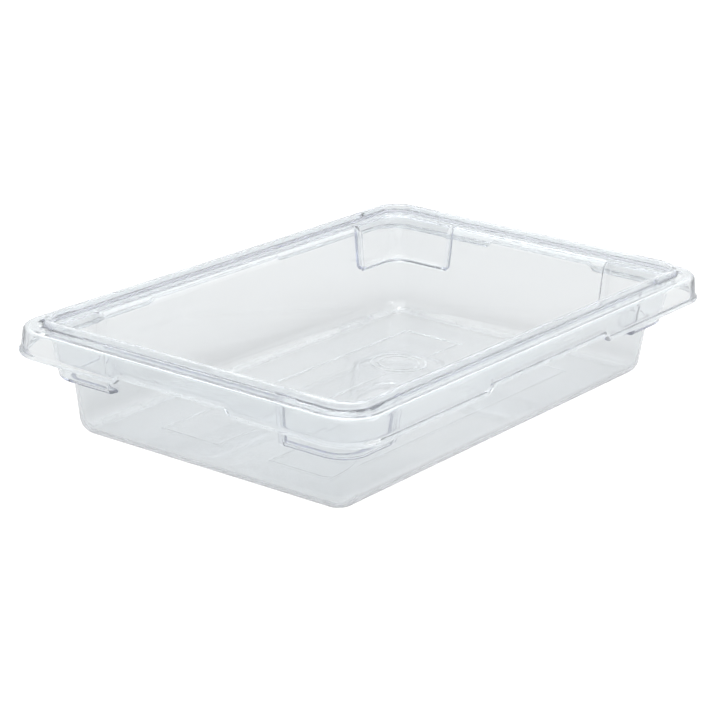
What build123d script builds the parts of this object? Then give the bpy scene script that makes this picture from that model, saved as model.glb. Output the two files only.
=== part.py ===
"""Clear one-piece food box: an open tub with a hanging rim, lid lip and stacking shoulders.

Millimetres, +Z up. The origin is the centre of the footprint on the surface the box
stands on, +X runs along the long side and -Y is the front.
"""

import os

from build123d import *

# Overall size, over the bead at the foot of the skirt.
LENGTH = 457.2
WIDTH = 304.8
HEIGHT = 85.0

# Material thickness.
WALL_T = 2.5
LIP_T = 3.0

# Rim. Insets are measured inwards from the outline of the flange.
BEAD_FLARE = 2.5
FLANGE_L = LENGTH - 2 * BEAD_FLARE
FLANGE_W = WIDTH - 2 * BEAD_FLARE
FLANGE_R = 27.0
FLANGE_EDGE_R = 4.0
FLANGE_CAP_H = 5.5
DECK_Z = 80.0
LIP_INSET = 13.8
LIP_R = 20.0
LIP_EDGE_R = 1.2
LIP_SWELL = 1.0
LIP_SWELL_X = 168.0
LIP_SWELL_Y = 92.0
LEDGE_Z = 77.0
LEDGE_CUT = 18.5

# Skirt, with a raised stretch for the fingers in the middle of each side.
SKIRT_Z = 60.0
SKIRT_LEAN = 1.0
BEAD_H = 4.2
BEAD_EDGE_R = 1.2
GRIP_RISE = 4.3
GRIP_HALF_LONG = 76.0
GRIP_HALF_SHORT = 47.5

# Tub walls lean outwards as they rise.
FOOT_INSET = 32.2
FOOT_R = 16.0
WALL_LEAN = 0.119
WALL_TOP_R = 18.0
BASE_R = 13.0
SILL_R = 8.0

# Corner shoulders, where one box rests on the box below.
SHOULDER_Z = 41.5
SHOULDER_INSET = 20.0
SHOULDER_R = 19.0
SHOULDER_X = 152.0
SHOULDER_Y = 72.0

# Shallow relief on the floor.
FLOOR_MARGIN = 44.0
RELIEF_H = 0.4
RELIEF_W = 1.0
FRAME_HALF_X = 149.0
FRAME_Y = (23.0, 73.0)
RING_CENTRE = (78.0, 31.0)
RING_RADII = (21.0, 15.5)

# Bounds that reach past the whole box, and clearances for cutting and picking edges.
REACH = 2 * LENGTH
OVERCUT = 1.0
PICK_MARGIN = 1.0
LEVEL_TOL = 0.01
SKIRT_CUT = 8.0

# Worked-out sizes.
FLOOR_CUT_Z = 2 * WALL_T
LIP_IN = LIP_INSET + LIP_T
SHELL_UNDER = LEDGE_Z - WALL_T
BASE_IN_R = BASE_R - WALL_T


def section(inset, radius, z):
    """Rounded rectangle, inset from the flange outline, at height z."""
    return Plane.XY.offset(z) * RectangleRounded(FLANGE_L - 2 * inset, FLANGE_W - 2 * inset, radius)


def slab(inset, radius, low, high):
    """Straight-sided rounded block between two heights."""
    return extrude(section(inset, radius, low), high - low)


def block(x0, x1, y0, y1, z0, z1):
    """Box between two corners."""
    size = Box(x1 - x0, y1 - y0, z1 - z0, align=(Align.MIN, Align.MIN, Align.MIN))
    return Pos(x0, y0, z0) * size


def inner_loop(solid, z, inset):
    """Edges of the level loop at height z that lies wholly inside the given inset."""
    reach_x = FLANGE_L / 2 - inset - PICK_MARGIN
    reach_y = FLANGE_W / 2 - inset - PICK_MARGIN
    loop = []
    for edge in solid.edges().filter_by_position(Axis.Z, z - LEVEL_TOL, z + LEVEL_TOL):
        box = edge.bounding_box()
        if max(box.max.X, -box.min.X) < reach_x and max(box.max.Y, -box.min.Y) < reach_y:
            loop.append(edge)
    return loop


def wall_inset(z):
    """Inset of the outer face of a side wall at height z."""
    return FOOT_INSET - WALL_LEAN * z


def tub_outside():
    """Outer envelope of the tub up to the underside of the ledge, with the ledge on top."""
    top_inset = wall_inset(SHELL_UNDER)
    body = loft([section(FOOT_INSET, FOOT_R, 0), section(top_inset, WALL_TOP_R, SHELL_UNDER)], ruled=True)
    body = fillet(body.edges().group_by(Axis.Z)[0], BASE_R)
    body += slab(LIP_INSET, LIP_R, SHELL_UNDER, DECK_Z)
    return fillet(inner_loop(body, SHELL_UNDER, LIP_INSET), SILL_R - WALL_T)


def tub_inside():
    """Cavity of the tub, widening over the rounded sill into the lip."""
    low_inset = wall_inset(WALL_T) + WALL_T
    sill_inset = wall_inset(LEDGE_Z) + WALL_T
    body = loft([section(low_inset, FOOT_R - WALL_T, WALL_T),
                 section(sill_inset, WALL_TOP_R - WALL_T, LEDGE_Z)], ruled=True)
    body = fillet(body.edges().group_by(Axis.Z)[0], BASE_IN_R)
    body += slab(LIP_IN, LIP_R - LIP_T, LEDGE_Z, HEIGHT + OVERCUT)
    return fillet(inner_loop(body, LEDGE_Z, LIP_IN), SILL_R)


def corner_zones(from_x, from_y, z0, z1):
    """The four corner blocks that start from_x and from_y away from the middle."""
    zones = []
    for side_x in (-1, 1):
        for side_y in (-1, 1):
            xs = sorted((side_x * from_x, side_x * REACH))
            ys = sorted((side_y * from_y, side_y * REACH))
            zones.append(block(xs[0], xs[1], ys[0], ys[1], z0, z1))
    return Compound(zones)


def shoulders(offset, low, high):
    """Corner bulges, pulled inwards by offset on every face, between two heights."""
    lean = WALL_LEAN * (high - low)
    low_face = section(SHOULDER_INSET + offset, SHOULDER_R - offset, low)
    high_face = section(SHOULDER_INSET + offset - lean, SHOULDER_R - offset, high)
    zones = corner_zones(SHOULDER_X + offset, SHOULDER_Y + offset, low, high)
    return loft([low_face, high_face], ruled=True) & zones


def lid_lip():
    """Lip that a lid fits round, a little thicker outwards at the corners."""
    thick_inset = LIP_INSET - LIP_SWELL
    thick = slab(thick_inset, LIP_R + LIP_SWELL, SHELL_UNDER, HEIGHT)
    lip = slab(LIP_INSET, LIP_R, SHELL_UNDER, HEIGHT)
    lip += thick & corner_zones(LIP_SWELL_X, LIP_SWELL_Y, DECK_Z - WALL_T, HEIGHT)
    return fillet(lip.edges().group_by(Axis.Z)[-1], LIP_EDGE_R)


def skirt_ring():
    """Hanging skirt with its bead, raised along the finger grips, and its rounded top edge."""
    leaning = loft([section(-SKIRT_LEAN, FLANGE_R + SKIRT_LEAN, SKIRT_Z + BEAD_H / 2),
                    section(0, FLANGE_R, DECK_Z - FLANGE_EDGE_R)], ruled=True)
    bead = slab(-BEAD_FLARE, FLANGE_R + BEAD_FLARE, SKIRT_Z, SKIRT_Z + BEAD_H)
    bead = fillet(bead.edges().group_by(Axis.Z)[0] + bead.edges().group_by(Axis.Z)[-1], BEAD_EDGE_R)
    grips = (block(-GRIP_HALF_LONG, GRIP_HALF_LONG, -REACH, REACH, 0, HEIGHT)
             + block(-REACH, REACH, -GRIP_HALF_SHORT, GRIP_HALF_SHORT, 0, HEIGHT))
    corners = (leaning + bead) - grips
    raised_leaning = leaning - block(-REACH, REACH, -REACH, REACH, 0, SKIRT_Z + GRIP_RISE + BEAD_H / 2)
    raised = (raised_leaning + Pos(0, 0, GRIP_RISE) * bead) & grips
    hollow = slab(WALL_T, FLANGE_R - WALL_T, 0, DECK_Z - WALL_T)
    hollow = fillet(hollow.edges().group_by(Axis.Z)[-1], FLANGE_EDGE_R - WALL_T)
    return corners + raised + flange_cap() - hollow


def flange_cap():
    """Level deck of the flange with its rounded outer edge."""
    cap = slab(0, FLANGE_R, DECK_Z - FLANGE_CAP_H, DECK_Z)
    return fillet(cap.edges().group_by(Axis.Z)[-1], FLANGE_EDGE_R)


def moulding():
    """The whole box as one moulding, from which the regions are cut."""
    outside = tub_outside() + shoulders(0, SHOULDER_Z, DECK_Z) + lid_lip() + skirt_ring()
    return outside - tub_inside() - shoulders(WALL_T, SHOULDER_Z + WALL_T, LEDGE_Z + OVERCUT)


def cut_regions(pan):
    """Named regions of the moulding. They meet face to face and share no volume."""
    lip_zone = block(-REACH, REACH, -REACH, REACH, DECK_Z, 2 * HEIGHT)
    skirt_zone = block(-REACH, REACH, -REACH, REACH, 0, DECK_Z - WALL_T)
    skirt_zone = skirt_zone - slab(SKIRT_CUT, FLANGE_R - SKIRT_CUT, 0, HEIGHT)
    rim_zone = block(-REACH, REACH, -REACH, REACH, SHELL_UNDER, DECK_Z)
    rim_zone = rim_zone - slab(LEDGE_CUT, LIP_R - LIP_T, 0, HEIGHT) - skirt_zone
    half_x = FLANGE_L / 2 - FLOOR_MARGIN
    half_y = FLANGE_W / 2 - FLOOR_MARGIN
    floor_zone = block(-half_x, half_x, -half_y, half_y, 0, FLOOR_CUT_Z)
    nodes = {
        "lid_lip": pan & lip_zone,
        "rim_flange": pan & rim_zone,
        "skirt": pan & skirt_zone,
        "floor_panel": pan & floor_zone,
    }
    walls = pan - lip_zone - rim_zone - skirt_zone - floor_zone
    mid_x = (-SHOULDER_X, SHOULDER_X)
    mid_y = (-SHOULDER_Y, SHOULDER_Y)
    nodes["wall_front"] = walls & block(*mid_x, -REACH, -SHOULDER_Y, 0, HEIGHT)
    nodes["wall_back"] = walls & block(*mid_x, SHOULDER_Y, REACH, 0, HEIGHT)
    nodes["wall_left"] = walls & block(-REACH, -SHOULDER_X, *mid_y, 0, HEIGHT)
    nodes["wall_right"] = walls & block(SHOULDER_X, REACH, *mid_y, 0, HEIGHT)
    nodes["corner_front_left"] = walls & block(-REACH, -SHOULDER_X, -REACH, -SHOULDER_Y, 0, HEIGHT)
    nodes["corner_front_right"] = walls & block(SHOULDER_X, REACH, -REACH, -SHOULDER_Y, 0, HEIGHT)
    nodes["corner_back_left"] = walls & block(-REACH, -SHOULDER_X, SHOULDER_Y, REACH, 0, HEIGHT)
    nodes["corner_back_right"] = walls & block(SHOULDER_X, REACH, SHOULDER_Y, REACH, 0, HEIGHT)
    return nodes


def floor_relief():
    """Raised outlines of two long panels and a plain pair of rings on the floor."""
    middle = sum(FRAME_Y) / 2
    deep = FRAME_Y[1] - FRAME_Y[0]
    frame = Rectangle(2 * FRAME_HALF_X, deep)
    frame -= Rectangle(2 * (FRAME_HALF_X - RELIEF_W), deep - 2 * RELIEF_W)
    lines = Pos(0, middle) * frame + Pos(0, -middle) * frame
    for radius in RING_RADII:
        lines += Pos(*RING_CENTRE) * (Circle(radius) - Circle(radius - RELIEF_W))
    return extrude(Plane.XY.offset(WALL_T) * lines, RELIEF_H)


def main():
    os.makedirs("parts", exist_ok=True)
    nodes = cut_regions(moulding())
    nodes["floor_relief"] = floor_relief()
    for name, shape in nodes.items():
        export_step(shape, f"parts/{name}.step")
        print(name, round(shape.volume), len(shape.solids()))


main()
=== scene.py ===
import math

import bpy
import numpy as np
from mathutils import Matrix, Vector


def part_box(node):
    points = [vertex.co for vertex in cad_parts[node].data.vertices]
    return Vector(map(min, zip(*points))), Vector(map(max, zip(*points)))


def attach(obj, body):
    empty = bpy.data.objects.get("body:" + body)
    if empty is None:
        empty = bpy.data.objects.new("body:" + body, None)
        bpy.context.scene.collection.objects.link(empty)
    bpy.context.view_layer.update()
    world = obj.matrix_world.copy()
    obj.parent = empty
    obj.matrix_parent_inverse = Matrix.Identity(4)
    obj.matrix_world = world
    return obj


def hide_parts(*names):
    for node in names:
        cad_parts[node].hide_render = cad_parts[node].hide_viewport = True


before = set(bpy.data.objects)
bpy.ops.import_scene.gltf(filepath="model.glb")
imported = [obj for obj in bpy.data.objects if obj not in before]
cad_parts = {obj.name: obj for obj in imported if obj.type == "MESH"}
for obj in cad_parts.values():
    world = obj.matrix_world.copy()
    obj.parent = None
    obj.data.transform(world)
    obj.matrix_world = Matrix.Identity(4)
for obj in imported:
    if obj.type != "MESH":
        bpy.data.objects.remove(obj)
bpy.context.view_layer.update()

# The moulding is one continuous clear skin. It is laid out in millimetres as a section,
# (inset from the flange outline, height), carried round a rounded rectangle.
MM = 0.001
FLANGE_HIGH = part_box("rim_flange")[1]
HALF_X = FLANGE_HIGH.x / MM
HALF_Y = FLANGE_HIGH.y / MM
DECK_Z = FLANGE_HIGH.z / MM
TOP_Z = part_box("lid_lip")[1].z / MM
SKIRT_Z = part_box("skirt")[0].z / MM
BEAD_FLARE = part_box("skirt")[1].x / MM - HALF_X
FLOOR_T = 2.5
WALL_T = 2.5
LEDGE_DROP = 3.0
LEDGE_Z = DECK_Z - LEDGE_DROP
LIP_SWELL = 1.0
LIP_OUT = HALF_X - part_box("lid_lip")[1].x / MM + LIP_SWELL
LIP_T = 3.0
LIP_EDGE_R = 1.2
LIP_FOOT_R = 1.3
FLANGE_EDGE_R = 4.0

# Wall of the tub: foot radius, lean, and the rounded sill at the top.
FOOT_R = 13.0
FOOT_IN = 43.7
LEAN = 0.119
WALL_AT_0 = 32.2
SILL_Z = 69.0
SILL_R = 8.0

# Corner shoulders and finger grips, as distances from the middle of each side.
SHOULDER_Z = 41.5
SHOULDER_IN = 20.0
SHOULDER_TURN_Z = 40.5
SHOULDER_EDGE_R = 3.0
SHOULDER_INNER_R = 1.3
SMALL_R = 1.0
SHOULDER_AT = (152.0, 72.0)
SHOULDER_STEP = 2.4
GRIP_AT = (76.0, 47.5)
GRIP_STEP = 7.0
GRIP_RISE = 4.3
LIP_JOG_AT = (168.0, 92.0)
LIP_JOG_STEP = 8.0

# Relief on the floor.
RELIEF_H = 0.2
RELIEF_HALF = 0.9
FRAME_X = 149.0
FRAME_Y = (23.0, 73.0)
RING_CENTRE = (78.0, 31.0)
RING_RADII = (21.0, 15.5)
RING_PATCH = 26.0

# Columns round each corner, and the distance at which two points count as one.
ARC_COLUMNS = 16
TOUCH = 1e-6

# Rubbed edges: outward bends in 1/mm where wear starts and is full, and heights on the foot.
WEAR_BEND = (0.15, 0.6)
FOOT_WEAR = (0.3, 2.5, 6.0)

# Plastic. Scales are in cycles to a metre, heights in metres.
POLYCARBONATE_IOR = 1.585
CLARITY = 0.93
TINT_COOL = (0.945, 0.961, 0.968)
TINT_CLEAR = (0.96, 0.97, 0.973)
BODY_COLOUR = (0.12, 0.2, 0.72)
BODY_DENSITY = 5.5
CLOUD_SCALE = 7.0
SMUDGE_SCALE = 24.0
ROUGH_CLEAN = 0.02
ROUGH_HANDLED = 0.05
SCRATCH_ROUGH = 0.06
EDGE_ROUGH = 0.03
EDGE_HAZE = 0.3
WEAR_SCALE = 60.0
FLOW_SCALE = 16.0
FLOW_HEIGHT = 0.00015
SCRATCH_DEPTH = 0.000002

# Studio.
FLOOR_HALF = 60.0
FLOOR_GAP = 0.0004
FLOOR_ALBEDO = 0.25
FLOOR_GLOW = 0.47
FLOOR_WHITE = 0.9
SKY_COLOUR = (0.97, 0.998, 1.0)
SKY_LOW = 0.94
SKY_HIGH = 1.9
SKY_RISE = (0.2, 0.8)
SOFTBOX_HEIGHT = 2.4
SOFTBOX_SIZE = (0.9, 0.7)
SOFTBOX_RADIANCE = 4.0
SIDE_FILL_PLACE = (0.6, -2.0, 0.9)
SIDE_FILL_SIZE = (1.6, 1.0)
SIDE_FILL_RADIANCE = 1.5
LIGHT_BOUNCES = 32

# Camera: angles in degrees, distances in metres, and the frame's side in pixels.
CAMERA_TURN = -54.7
CAMERA_TILT = 18.4
CAMERA_ROLL = 2.17
CAMERA_DISTANCE = 1.777
CAMERA_TARGET_Z = 0.0396
SENSOR_MM = 36.0
FRAME_SIDE = 713.0
FOCAL_LENGTH = 2437.0
FRAME_SHIFT = (-17.0, -7.0)


def smooth_step(value, low, high):
    """0 below low, 1 above high, and a smooth S between."""
    t = np.clip((value - low) / (high - low), 0.0, 1.0)
    return t * t * (3 - 2 * t)


def arc(centre, radii, start, stop, count):
    """Points on a quarter or part of an ellipse, angles in degrees."""
    angles = np.radians(np.linspace(start, stop, count))
    return [(centre[0] + radii[0] * math.cos(a), centre[1] + radii[1] * math.sin(a)) for a in angles]


def line(start, stop, count):
    """Evenly spaced points from start to stop, both included."""
    return [tuple(p) for p in np.linspace(start, stop, count)]


def wall_out(z):
    """Inset of the tub's outer face at height z, away from the shoulders."""
    return WALL_AT_0 - LEAN * z


def shoulder_out(z):
    """Inset of a shoulder's outer face at height z."""
    return SHOULDER_IN - LEAN * (z - SHOULDER_Z)


def foot(radius, count):
    """Bottom radius, from the floor up to where it meets the leaning wall."""
    top = 90 - math.degrees(math.atan(LEAN))
    return [(FOOT_IN - radius * math.sin(a), FOOT_R - radius * math.cos(a))
            for a in np.radians(np.linspace(0, top, count))]


def outer_tub(shouldered):
    """Outer face of the tub from the floor up to the underside of the ledge."""
    points = foot(FOOT_R, 13)
    points += [(wall_out(z), z) for z in (12.4, 18.0, 26.0, 33.0, 38.0)]
    if shouldered:
        points += [(wall_out(z), z) for z in (39.4, 40.2)]
        turn = wall_out(SHOULDER_TURN_Z)
        points += arc((turn - SMALL_R, SHOULDER_Z - SMALL_R), (SMALL_R, SMALL_R), 0, 90, 4)
        centre = (SHOULDER_IN + SHOULDER_EDGE_R - 0.1, SHOULDER_Z + SHOULDER_EDGE_R)
        points += arc(centre, (SHOULDER_EDGE_R, SHOULDER_EDGE_R), 270, 180, 6)
        face = shoulder_out
    else:
        points += [(wall_out(z), z) for z in np.linspace(39.0, 45.5, 12)]
        face = wall_out
    points += [(face(z), z) for z in (47.6, 52.0, 58.0, 64.0, 68.0)]
    reach = face(SILL_Z) - (LIP_OUT + LIP_T / 2) if shouldered else SILL_R - WALL_T
    sill = SILL_R - WALL_T
    points += arc((face(SILL_Z) - reach, SILL_Z), (reach, sill), 0, 90, 9)
    return points


def under_rim():
    """Underside of the ledge and the flange, the skirt's inner face and its bead."""
    shell = SILL_Z + SILL_R - WALL_T
    under = DECK_Z - WALL_T
    points = arc((LIP_OUT + 1.2, shell + 0.6), (0.9, 0.6), 270, 180, 4)
    points += arc((LIP_OUT - 0.9, under - 1.2), (1.2, 1.2), 0, 90, 5)
    points += line((11.0, under), (5.0, under), 3)
    points += arc((WALL_T + 1.5, under - 1.5), (1.5, 1.5), 90, 180, 5)
    points += line((2.45, 75.0), (1.75, 62.4), 6)
    points += arc((0.7, SKIRT_Z + 1.0), (0.95, 1.0), 0, -90, 6)
    points += arc((-0.4, SKIRT_Z + 2.2), (BEAD_FLARE - 0.4, 2.2), 270, 140, 11)
    points += [(-1.55, SKIRT_Z + 4.3), (-1.28, SKIRT_Z + 4.9), (-1.12, SKIRT_Z + 5.6)]
    return points


def over_rim():
    """Skirt's outer face, the flange edge, the deck and the lid lip."""
    edge, foot_r, top_r = FLANGE_EDGE_R, LIP_FOOT_R, LIP_EDGE_R
    points = line((-1.04, SKIRT_Z + 6.4), (-0.08, DECK_Z - edge - 1.0), 4)
    points += arc((edge, DECK_Z - edge), (edge, edge), 180, 90, 9)
    points += line((edge + 0.8, DECK_Z), (LIP_OUT - foot_r - 0.6, DECK_Z), 3)
    points += arc((LIP_OUT - foot_r, DECK_Z + foot_r), (foot_r, foot_r), 270, 360, 6)
    points += line((LIP_OUT, DECK_Z + foot_r + 0.4), (LIP_OUT, TOP_Z - top_r - 0.4), 2)
    points += arc((LIP_OUT + top_r, TOP_Z - top_r), (top_r, top_r), 180, 90, 6)
    points += arc((LIP_OUT + LIP_T - top_r, TOP_Z - top_r), (top_r, top_r), 90, 0, 6)
    return points


def inner_tub(shouldered):
    """Inner face from the lip down over the sill and the shoulder to the floor."""
    lip_in = LIP_OUT + LIP_T
    points = line((lip_in, TOP_Z - LIP_EDGE_R - 0.6), (lip_in, LEDGE_Z + LIP_FOOT_R + 0.5), 3)
    points += arc((lip_in + LIP_FOOT_R, LEDGE_Z + LIP_FOOT_R), (LIP_FOOT_R, LIP_FOOT_R), 180, 270, 6)
    face = (lambda z: shoulder_out(z) + WALL_T) if shouldered else (lambda z: wall_out(z) + WALL_T)
    reach = min(SILL_R, face(SILL_Z) - lip_in - LIP_FOOT_R - 0.3)
    points += arc((face(SILL_Z) - reach, SILL_Z), (reach, SILL_R), 90, 0, 11)
    points += [(face(z), z) for z in (68.0, 62.0, 56.0, 50.0)]
    if shouldered:
        centre = (SHOULDER_IN + WALL_T + 0.7, SHOULDER_Z + WALL_T + SMALL_R)
        points += arc(centre, (SMALL_R, SMALL_R), 180, 270, 5)
        turn = wall_out(SHOULDER_TURN_Z) + WALL_T - SHOULDER_INNER_R
        radii = (SHOULDER_INNER_R, SHOULDER_INNER_R)
        points += arc((turn, SHOULDER_Z + WALL_T - SHOULDER_INNER_R), radii, 90, 0, 5)
        points += [(wall_out(z) + WALL_T, z) for z in (40.4, 39.2)]
    else:
        points += [(wall_out(z) + WALL_T, z) for z in np.linspace(45.9, 39.2, 12)]
    points += [(wall_out(z) + WALL_T, z) for z in (36.0, 28.0, 20.0, 13.0)]
    points += foot(FOOT_R - WALL_T, 12)[::-1]
    return points


def section(shouldered):
    """The whole section from under the floor round to its top."""
    return np.array(outer_tub(shouldered) + under_rim() + over_rim() + inner_tub(shouldered))


def edge_wear(points):
    """How rubbed each point of a section is: 1 on the rim's tight outward radii and low on the foot."""
    before = points - np.roll(points, 1, axis=0)
    after = np.roll(points, -1, axis=0) - points
    cross = before[:, 1] * after[:, 0] - before[:, 0] * after[:, 1]
    sizes = np.hypot(*before.T), np.hypot(*after.T)
    bend = 2 * cross / (sizes[0] * sizes[1] * (sizes[0] + sizes[1]))
    height = points[:, 1]
    low = smooth_step(height, 0, FOOT_WEAR[0]) * (1 - smooth_step(height, FOOT_WEAR[1], FOOT_WEAR[2]))
    row = np.arange(len(points))
    tub, rim = len(outer_tub(False)), len(under_rim() + over_rim())
    return np.where(row < tub, low, smooth_step(bend, *WEAR_BEND) * (row < tub + rim))


def row_radius(inset, inner):
    """Corner radius in plan of the loop at an inset. The inner skin is offset from the outer."""
    known = (-3.0, 0.0, 13.8, 16.0, 22.0, 27.0, 31.0, 43.7)
    radii = (30.0, 27.0, 20.0, 18.5, 19.0, 18.0, 16.0, 3.3)
    if inner:
        return max(np.interp(inset - WALL_T, known, radii) - WALL_T, 3.0)
    return float(np.interp(inset, known, radii))


def side_places(parts):
    """Symmetric positions along one side."""
    half = sorted({round(float(v), 3) for part in parts for v in part})
    return np.array([-v for v in reversed(half) if v > 0] + half)


def step_places(middle, width, count=9):
    """Close positions through a step."""
    return np.linspace(middle - width / 2 - 0.5, middle + width / 2 + 0.5, count)


def shoulder_places(start):
    """Close positions through a shoulder's end plate, from its outer to its inner step."""
    return np.linspace(start - SHOULDER_STEP / 2 - 0.3, start + WALL_T + SHOULDER_STEP / 2 + 0.3, 13)


def ridge_places(middle):
    """Positions across one raised line."""
    return middle + np.array((-1.2, -0.9, -0.45, 0.0, 0.45, 0.9, 1.2))


def long_places():
    patch = np.linspace(RING_CENTRE[0] - RING_PATCH, RING_CENTRE[0] + RING_PATCH, 10)
    return side_places([
        (0.0, 17.0, 35.0, 115.0, 128.0, 140.0, 162.0, 173.0), patch,
        step_places(GRIP_AT[0], GRIP_STEP), shoulder_places(SHOULDER_AT[0]),
        step_places(LIP_JOG_AT[0], LIP_JOG_STEP, 5), ridge_places(FRAME_X - 1.0),
    ])


def short_places():
    patch = np.linspace(RING_CENTRE[1] - RING_PATCH, RING_CENTRE[1] + RING_PATCH, 10)
    return side_places([
        (0.0, 64.0, 83.0), patch,
        step_places(GRIP_AT[1], GRIP_STEP), shoulder_places(SHOULDER_AT[1]),
        step_places(LIP_JOG_AT[1], LIP_JOG_STEP, 5), ridge_places(FRAME_Y[0]), ridge_places(FRAME_Y[1]),
    ])


class Loop:
    """Columns once round the box, starting at the front left and going anticlockwise."""

    def __init__(self, xs, ys):
        self.xs = xs
        self.ys = ys
        angles = np.linspace(0, 90, ARC_COLUMNS + 1)
        self.columns = []
        for quarter in range(4):
            places = xs if quarter % 2 == 0 else ys
            self.columns += [("side", quarter, float(v)) for v in places]
            self.columns += [("arc", quarter, float(a)) for a in angles]
        self.count = len(self.columns)

    def step(self, at, width):
        """0 towards the middle of each side, 1 round the corners."""
        values = []
        for kind, quarter, place in self.columns:
            middle = at[quarter % 2]
            values.append(1.0 if kind == "arc" else
                          float(smooth_step(abs(place), middle - width / 2, middle + width / 2)))
        return np.array(values)

    def points(self, inset, radius):
        """Plan position of every column on a loop. inset holds one value for each column."""
        out = np.zeros((self.count, 2))
        for i, (kind, quarter, place) in enumerate(self.columns):
            reach_x = HALF_X - inset[i]
            reach_y = HALF_Y - inset[i]
            along, across = (reach_x, reach_y) if quarter % 2 == 0 else (reach_y, reach_x)
            if kind == "side":
                u, v = place, -across
            else:
                a = math.radians(place)
                u = along - radius[i] + radius[i] * math.sin(a)
                v = -(across - radius[i]) - radius[i] * math.cos(a)
            turn = quarter * math.pi / 2
            out[i] = (u * math.cos(turn) - v * math.sin(turn), u * math.sin(turn) + v * math.cos(turn))
        return out


def skin_rows(loop):
    """Every row of the band, as an array of rows x columns x (x, y, z, wear)."""
    plain, shouldered = section(False), section(True)
    plain = np.column_stack([plain, edge_wear(plain)])
    shouldered = np.column_stack([shouldered, edge_wear(shouldered)])
    outer_corner = loop.step(SHOULDER_AT, SHOULDER_STEP)
    inner_corner = loop.step([at + WALL_T for at in SHOULDER_AT], SHOULDER_STEP)
    off_grip = loop.step(GRIP_AT, GRIP_STEP)
    in_jog = loop.step(LIP_JOG_AT, LIP_JOG_STEP)
    n_outer = len(outer_tub(False)) + len(under_rim()) + len(over_rim())
    n_under = len(outer_tub(False))
    rows = []
    for j, (a, b) in enumerate(zip(plain, shouldered)):
        in_corner = inner_corner if j >= n_outer else outer_corner
        inset = a[0] + (b[0] - a[0]) * in_corner
        height = a[1] + (b[1] - a[1]) * in_corner
        wear = a[2] + (b[2] - a[2]) * in_corner
        if n_under <= j < n_outer:
            # The skirt rises over the finger grips, most at its foot.
            rise = GRIP_RISE * (1 - smooth_step(a[1], SKIRT_Z + 5.5, SKIRT_Z + 13.0))
            if a[0] < 3.0:
                height = height + rise * (1 - off_grip)
            if a[1] > DECK_Z - 0.01 and a[0] > LIP_OUT - 1.5:
                outward = 1 - smooth_step(a[0], LIP_OUT + 0.9, LIP_OUT + LIP_T - 0.9)
                inset = inset - LIP_SWELL * outward * in_jog
        radius = np.array([row_radius(s, j >= n_outer) for s in inset])
        plan = loop.points(inset, radius)
        rows.append(np.column_stack([plan, height, wear]))
    return np.array(rows)


def relief(x, y):
    """Height of the raised lines at a point of the floor, in millimetres."""
    def ridge(distance):
        return RELIEF_H * (1 - smooth_step(abs(distance), 0.25, RELIEF_HALF))

    x_line = FRAME_X - 1.0
    height = 0.0
    for side in (-1, 1):
        near, far = side * FRAME_Y[0], side * FRAME_Y[1]
        if abs(x) <= x_line + RELIEF_HALF:
            height = max(height, ridge(y - near), ridge(y - far))
        if min(near, far) - RELIEF_HALF <= y <= max(near, far) + RELIEF_HALF:
            height = max(height, ridge(abs(x) - x_line))
    away = max(abs(x - RING_CENTRE[0]), abs(y - RING_CENTRE[1]))
    return height * float(smooth_step(away, RING_PATCH - 0.1, RING_PATCH + 4.0))


def floor_panel(builder, loop, rim_ids, z):
    """Fill the floor inside a loop with a grid, and with rings in its square."""
    grid = {}
    for i, x in enumerate(loop.xs):
        for j, y in enumerate(loop.ys):
            if in_patch(x, y):
                continue
            height = relief(x, y)
            grid[i, j] = builder.vertex(x, y, z + height, height / RELIEF_H)
    nx, ny = len(loop.xs), len(loop.ys)
    for i in range(nx - 1):
        for j in range(ny - 1):
            middle = ((loop.xs[i] + loop.xs[i + 1]) / 2, (loop.ys[j] + loop.ys[j + 1]) / 2)
            if in_patch(*middle):
                continue
            builder.face([grid[i, j], grid[i + 1, j], grid[i + 1, j + 1], grid[i, j + 1]])
    edge = [[grid[i, 0] for i in range(nx)], [grid[nx - 1, j] for j in range(ny)],
            [grid[i, ny - 1] for i in reversed(range(nx))], [grid[0, j] for j in reversed(range(ny))]]
    start = 0
    for quarter in range(4):
        side = edge[quarter]
        for k in range(len(side) - 1):
            builder.face([rim_ids[start + k], rim_ids[start + k + 1], side[k + 1], side[k]])
        start += len(side)
        corner = side[-1]
        builder.face([rim_ids[start - 1], rim_ids[start], corner])
        for k in range(ARC_COLUMNS):
            builder.face([rim_ids[start + k], rim_ids[start + k + 1], corner])
        start += ARC_COLUMNS + 1
        builder.face([rim_ids[start - 1], rim_ids[start % loop.count], corner])
    rings(builder, loop, grid, z)


def in_patch(x, y):
    """Whether a point is inside the square that holds the rings."""
    return (abs(x - RING_CENTRE[0]) < RING_PATCH - TOUCH
            and abs(y - RING_CENTRE[1]) < RING_PATCH - TOUCH)


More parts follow.
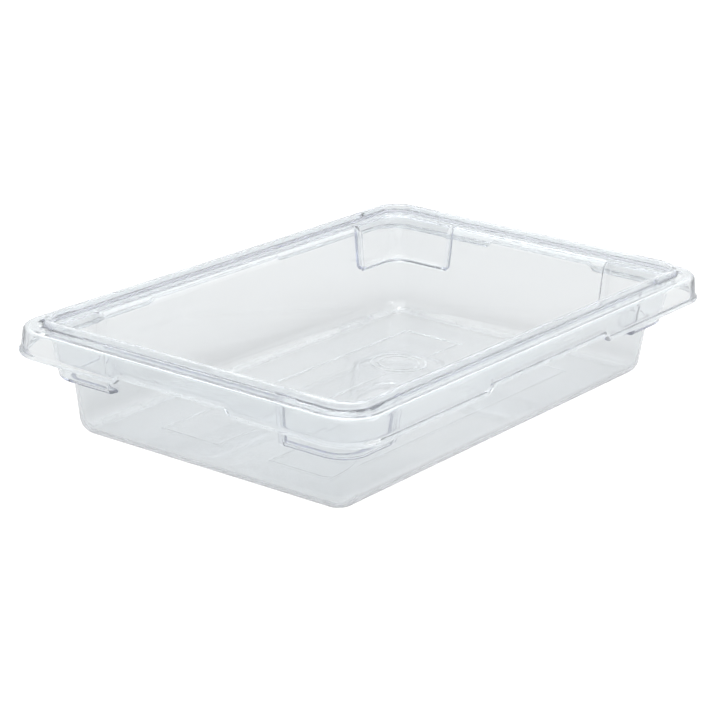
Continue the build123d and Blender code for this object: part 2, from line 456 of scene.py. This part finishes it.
def rings(builder, loop, grid, z):
    """Round relief: loops that ease from the square's edge into circles."""
    cx, cy = RING_CENTRE
    xi = [i for i, x in enumerate(loop.xs) if abs(x - cx) <= RING_PATCH + TOUCH]
    yj = [j for j, y in enumerate(loop.ys) if abs(y - cy) <= RING_PATCH + TOUCH]
    ids = [grid[i, yj[0]] for i in xi[:-1]] + [grid[xi[-1], j] for j in yj[:-1]]
    ids += [grid[i, yj[-1]] for i in reversed(xi[1:])] + [grid[xi[0], j] for j in reversed(yj[1:])]
    square = [(builder.points[k][0] - cx, builder.points[k][1] - cy) for k in ids]
    circle = []
    for x, y in square:
        # Spread the points evenly along each side of the square round the circle.
        if abs(abs(y) - RING_PATCH) < TOUCH:
            a = math.pi / 4 * x / RING_PATCH
            circle.append((math.sin(a), math.copysign(math.cos(a), y)))
        else:
            a = math.pi / 4 * y / RING_PATCH
            circle.append((math.copysign(math.cos(a), x), math.sin(a)))
    radii = [23.5]
    for ring in RING_RADII:
        radii += [ring + d for d in (1.2, 0.9, 0.45, 0.0, -0.45, -0.9, -1.2)]
    radii += [11.0, 6.0, 2.5]
    previous = ids
    for radius in radii:
        gap = min(abs(radius - ring) for ring in RING_RADII)
        height = RELIEF_H * (1 - float(smooth_step(gap, 0.25, RELIEF_HALF)))
        current = [builder.vertex(cx + radius * u, cy + radius * v, z + height, height / RELIEF_H)
                   for u, v in circle]
        for k in range(len(ids)):
            n = (k + 1) % len(ids)
            builder.face([previous[k], previous[n], current[n], current[k]])
        previous = current
    centre = builder.vertex(cx, cy, z)
    for k in range(len(ids)):
        builder.face([previous[k], previous[(k + 1) % len(ids)], centre])


class Builder:
    """Collects points and faces in millimetres and makes one mesh object in metres."""

    def __init__(self):
        self.points = []
        self.wear = []
        self.faces = []

    def vertex(self, x, y, z, wear=0.0):
        self.points.append((float(x), float(y), float(z)))
        self.wear.append(float(wear))
        return len(self.points) - 1

    def face(self, ids):
        self.faces.append(ids)

    def make(self, name):
        mesh = bpy.data.meshes.new(name)
        mesh.from_pydata([Vector(p) * MM for p in self.points], [], self.faces)
        mesh.attributes.new("edge_wear", "FLOAT", "POINT").data.foreach_set("value", self.wear)
        for polygon in mesh.polygons:
            polygon.use_smooth = True
        piece = bpy.data.objects.new(name, mesh)
        bpy.context.scene.collection.objects.link(piece)
        return piece


def make_moulding():
    """The whole box as one closed skin."""
    loop = Loop(long_places(), short_places())
    rows = skin_rows(loop)
    builder = Builder()
    ids = [[builder.vertex(*p) for p in row] for row in rows]
    for lower, upper in zip(ids, ids[1:]):
        for k in range(loop.count):
            n = (k + 1) % loop.count
            builder.face([lower[k], lower[n], upper[n], upper[k]])
    builder.face(ids[0][::-1])
    floor_panel(builder, loop, ids[-1], FLOOR_T)
    return builder.make("clear_moulding")


class Nodes:
    """Short way to add linked nodes to one material."""

    def __init__(self, material):
        self.tree = material.node_tree

    def add(self, kind, values=(), **settings):
        """A node of a kind, with its settings, and its inputs set or linked by name."""
        node = self.tree.nodes.new(kind)
        for name, value in settings.items():
            setattr(node, name, value)
        for name, value in dict(values).items():
            if isinstance(value, bpy.types.NodeSocket):
                self.tree.links.new(value, node.inputs[name])
            else:
                node.inputs[name].default_value = value
        return node

    def noise(self, place, scale, detail=3.0, rough=0.5):
        values = {"Vector": place, "Scale": scale, "Detail": detail, "Roughness": rough}
        return self.add("ShaderNodeTexNoise", values).outputs["Fac"]

    def remap(self, value, low, high, to_low, to_high, **settings):
        values = {"Value": value, "From Min": low, "From Max": high, "To Min": to_low, "To Max": to_high}
        return self.add("ShaderNodeMapRange", values, **settings).outputs["Result"]

    def math(self, operation, first, second):
        return self.add("ShaderNodeMath", {0: first, 1: second}, operation=operation).outputs[0]


def scratches(nodes, place, turn, stretch, scale):
    """Fine straight scratches one way: 1 on a scratch and 0 between."""
    mapping = nodes.add("ShaderNodeMapping", {"Vector": place, "Rotation": turn, "Scale": stretch})
    lines = nodes.noise(mapping.outputs["Vector"], scale, detail=1.0)
    return nodes.remap(lines, 0.70, 0.76, 0.0, 1.0)


def clear_plastic():
    """Clear moulded polycarbonate with melt flow, fine scratches and rubbed edges."""
    material = bpy.data.materials.new("clear_polycarbonate")
    material.use_nodes = True
    nodes = Nodes(material)
    shader = material.node_tree.nodes["Principled BSDF"]
    out = material.node_tree.nodes["Material Output"]
    place = nodes.add("ShaderNodeTexCoord").outputs["Object"]
    edge = nodes.add("ShaderNodeAttribute", attribute_name="edge_wear").outputs["Fac"]

    patchy = nodes.remap(nodes.noise(place, WEAR_SCALE), 0.3, 0.7, 0.5, 1.0)
    rubbed = nodes.math("MULTIPLY", edge, patchy)
    cloud = nodes.noise(place, CLOUD_SCALE)
    smudge = nodes.noise(place, SMUDGE_SCALE, detail=6.0, rough=0.6)
    along = scratches(nodes, place, (0.0, 0.0, 0.35), (1.0, 30.0, 30.0), 9.0)
    across = scratches(nodes, place, (0.3, 0.2, -0.9), (1.0, 34.0, 34.0), 8.0)
    worn = nodes.math("MAXIMUM", along, across)

    tint = nodes.add("ShaderNodeValToRGB", {"Fac": nodes.remap(cloud, 0.3, 0.7, 0.0, 1.0)})
    tint.color_ramp.elements[0].color = (*TINT_COOL, 1.0)
    tint.color_ramp.elements[1].color = (*TINT_CLEAR, 1.0)
    nodes.tree.links.new(tint.outputs["Color"], shader.inputs["Base Color"])

    dull = nodes.remap(smudge, 0.35, 0.75, ROUGH_CLEAN, ROUGH_HANDLED)
    dull = nodes.math("ADD", dull, nodes.math("MULTIPLY", worn, SCRATCH_ROUGH))
    dull = nodes.math("ADD", dull, nodes.math("MULTIPLY", rubbed, EDGE_ROUGH))
    nodes.tree.links.new(dull, shader.inputs["Roughness"])

    flow = nodes.add("ShaderNodeMapping", {"Vector": place, "Scale": (0.6, 1.4, 1.0)})
    ripple = nodes.noise(flow.outputs["Vector"], FLOW_SCALE, detail=2.0)
    bump = nodes.add("ShaderNodeBump", {"Height": ripple, "Strength": 1.0, "Distance": FLOW_HEIGHT})
    marks = nodes.add("ShaderNodeBump", {"Height": worn, "Strength": 1.0, "Distance": SCRATCH_DEPTH,
                                         "Normal": bump.outputs["Normal"]}, invert=True)
    nodes.tree.links.new(marks.outputs["Normal"], shader.inputs["Normal"])

    shader.inputs["IOR"].default_value = POLYCARBONATE_IOR
    clear = nodes.remap(rubbed, 0.0, 1.0, CLARITY, CLARITY - EDGE_HAZE)
    nodes.tree.links.new(clear, shader.inputs["Transmission Weight"])
    body = nodes.add("ShaderNodeVolumeAbsorption", {"Color": (*BODY_COLOUR, 1.0), "Density": BODY_DENSITY})
    nodes.tree.links.new(body.outputs["Volume"], out.inputs["Volume"])
    return material


def make_stage():
    """Plain pale table. Seen directly it is clean white, as behind a cut-out studio picture,
    and through the plastic and in its gloss it is a pale grey matt sheet."""
    mesh = bpy.data.meshes.new("studio_floor")
    corners = [(x * FLOOR_HALF, y * FLOOR_HALF, 0) for x, y in ((-1, -1), (1, -1), (1, 1), (-1, 1))]
    mesh.from_pydata(corners, [], [(0, 1, 2, 3)])
    floor = bpy.data.objects.new("studio_floor", mesh)
    floor.location.z = -FLOOR_GAP
    bpy.context.scene.collection.objects.link(floor)
    material = bpy.data.materials.new("studio_white")
    material.use_nodes = True
    nodes = Nodes(material)
    shader = material.node_tree.nodes["Principled BSDF"]
    shader.inputs["Base Color"].default_value = (FLOOR_ALBEDO, FLOOR_ALBEDO, FLOOR_ALBEDO, 1)
    shader.inputs["Roughness"].default_value = 1.0
    shader.inputs["Specular IOR Level"].default_value = 0.0
    shader.inputs["Emission Color"].default_value = (1, 1, 1, 1)
    direct = nodes.add("ShaderNodeLightPath").outputs["Is Camera Ray"]
    glow = nodes.remap(direct, 0.0, 1.0, FLOOR_GLOW, FLOOR_WHITE)
    nodes.tree.links.new(glow, shader.inputs["Emission Strength"])
    floor.data.materials.append(material)


def softbox(name, place, target, size, radiance):
    """Rectangular soft light of a given brightness, turned to face a point."""
    data = bpy.data.lights.new(name, "AREA")
    data.shape = "RECTANGLE"
    data.size, data.size_y = size
    data.energy = radiance * math.pi * size[0] * size[1]
    lamp = bpy.data.objects.new(name, data)
    lamp.location = place
    lamp.rotation_euler = (Vector(target) - Vector(place)).to_track_quat("-Z", "Y").to_euler()
    lamp.visible_camera = False
    bpy.context.scene.collection.objects.link(lamp)


def light_studio():
    """White dome that brightens overhead and a softbox, with enough bounces for thick edges."""
    world = bpy.data.worlds.new("studio")
    world.use_nodes = True
    background = world.node_tree.nodes["Background"]
    background.inputs["Color"].default_value = (*SKY_COLOUR, 1)
    nodes = Nodes(world)
    upward = nodes.add("ShaderNodeTexCoord").outputs["Generated"]
    height = nodes.add("ShaderNodeSeparateXYZ", {"Vector": upward}).outputs["Z"]
    rise = nodes.remap(height, *SKY_RISE, SKY_LOW, SKY_HIGH, interpolation_type="SMOOTHSTEP")
    nodes.tree.links.new(rise, background.inputs["Strength"])
    scene = bpy.context.scene
    scene.world = world
    scene.view_settings.view_transform = "Standard"
    scene.cycles.max_bounces = LIGHT_BOUNCES
    scene.cycles.transmission_bounces = LIGHT_BOUNCES
    scene.cycles.glossy_bounces = LIGHT_BOUNCES
    middle = (0, 0, TOP_Z * MM)
    softbox("overhead", (0.0, 0.0, SOFTBOX_HEIGHT), middle, SOFTBOX_SIZE, SOFTBOX_RADIANCE)
    softbox("side_fill", SIDE_FILL_PLACE, middle, SIDE_FILL_SIZE, SIDE_FILL_RADIANCE)


def make_camera():
    """Long lens, a little above the rim, turned to a corner and rolled slightly."""
    azimuth, elevation = math.radians(CAMERA_TURN), math.radians(CAMERA_TILT)
    back = Vector((math.sin(azimuth) * math.cos(elevation), -math.cos(azimuth) * math.cos(elevation),
                   math.sin(elevation)))
    data = bpy.data.cameras.new("camera")
    data.sensor_width = SENSOR_MM
    data.lens = SENSOR_MM * FOCAL_LENGTH / FRAME_SIDE
    data.shift_x = FRAME_SHIFT[0] / FRAME_SIDE
    data.shift_y = FRAME_SHIFT[1] / FRAME_SIDE
    camera = bpy.data.objects.new("camera", data)
    turn = back.to_track_quat("Z", "Y").to_matrix() @ Matrix.Rotation(math.radians(CAMERA_ROLL), 3, "Z")
    place = Vector((0, 0, CAMERA_TARGET_Z)) + back * CAMERA_DISTANCE
    camera.matrix_world = Matrix.Translation(place) @ turn.to_4x4()
    bpy.context.scene.collection.objects.link(camera)
    bpy.context.scene.camera = camera


moulding = make_moulding()
moulding.data.materials.append(clear_plastic())
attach(moulding, "root")
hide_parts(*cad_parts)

make_stage()
make_camera()
light_studio()
